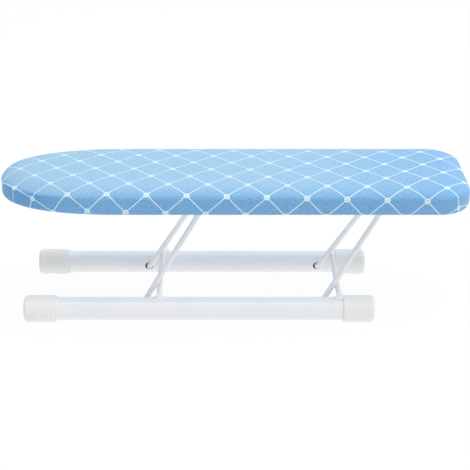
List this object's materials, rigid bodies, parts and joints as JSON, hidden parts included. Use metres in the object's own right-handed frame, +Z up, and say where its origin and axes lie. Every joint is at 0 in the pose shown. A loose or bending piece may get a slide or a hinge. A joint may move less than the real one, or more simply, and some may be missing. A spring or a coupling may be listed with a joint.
{
  "type": "tabletop ironing board",
  "caption": "Low padded ironing board with a rounded nose and a lattice-print cover, on wire legs that fold flat over a frame of capped foot tubes.",
  "frame": {"origin": "on the table under the middle of the board's length and width", "axes": "+Z up, +X along the board towards its square tail, +Y from the front foot tube to the rear one"},
  "size_m": [0.502, 0.149, 0.1563],
  "materials": {
    "white_paint": "smooth white paint on steel, half gloss",
    "cap_plastic": "moulded off-white plastic, fine matt grain",
    "fibre_board": "pressed wood fibre with a white primed face",
    "sponge": "open-cell sponge",
    "cover_cloth": "plain-woven light blue cotton with a white printed lattice",
    "elastic": "braided white elastic cord",
    "zinc_plate": "bright zinc plate"
  },
  "bodies": {
    "foot_frame": {"front_foot_tube": "white_paint", "rear_foot_tube": "white_paint", "front_left_cap": "cap_plastic", "front_right_cap": "cap_plastic", "rear_left_cap": "cap_plastic", "rear_right_cap": "cap_plastic", "left_cross_wire": "white_paint", "right_cross_wire": "white_paint"},
    "left_leg": {"left_leg_wire": "white_paint"},
    "right_leg": {"right_leg_wire": "white_paint"},
    "board": {"core_board": "fibre_board", "sponge_pad": "sponge", "fabric_cover": "cover_cloth", "hem_elastic": "elastic", "left_front_saddle": "zinc_plate", "left_rear_saddle": "zinc_plate", "right_front_saddle": "zinc_plate", "right_rear_saddle": "zinc_plate", "left_front_saddle_nose_screw": "zinc_plate", "left_front_saddle_tail_screw": "zinc_plate", "left_rear_saddle_nose_screw": "zinc_plate", "left_rear_saddle_tail_screw": "zinc_plate", "right_front_saddle_nose_screw": "zinc_plate", "right_front_saddle_tail_screw": "zinc_plate", "right_rear_saddle_nose_screw": "zinc_plate", "right_rear_saddle_tail_screw": "zinc_plate"}
  },
  "joints": [
    {"name": "left_leg_hinge", "type": "hinge", "parent": "foot_frame", "child": "left_leg", "pos_m": [-0.0977, 0, 0.0145], "axis": [0, -1, 0], "range_deg": [0, 112]},
    {"name": "right_leg_hinge", "type": "hinge", "parent": "foot_frame", "child": "right_leg", "pos_m": [0.09731, 0, 0.0145], "axis": [0, -1, 0], "range_deg": [0, 112]},
    {"name": "board_hinge", "type": "hinge", "parent": "left_leg", "child": "board", "pos_m": [-0.0284, 0, 0.12626], "axis": [0, -1, 0], "range_deg": [-112, 0]}
  ],
  "couplings": [
    {"joint": "right_leg_hinge", "follows": "left_leg_hinge", "ratio": 1},
    {"joint": "board_hinge", "follows": "left_leg_hinge", "ratio": -1}
  ]
}
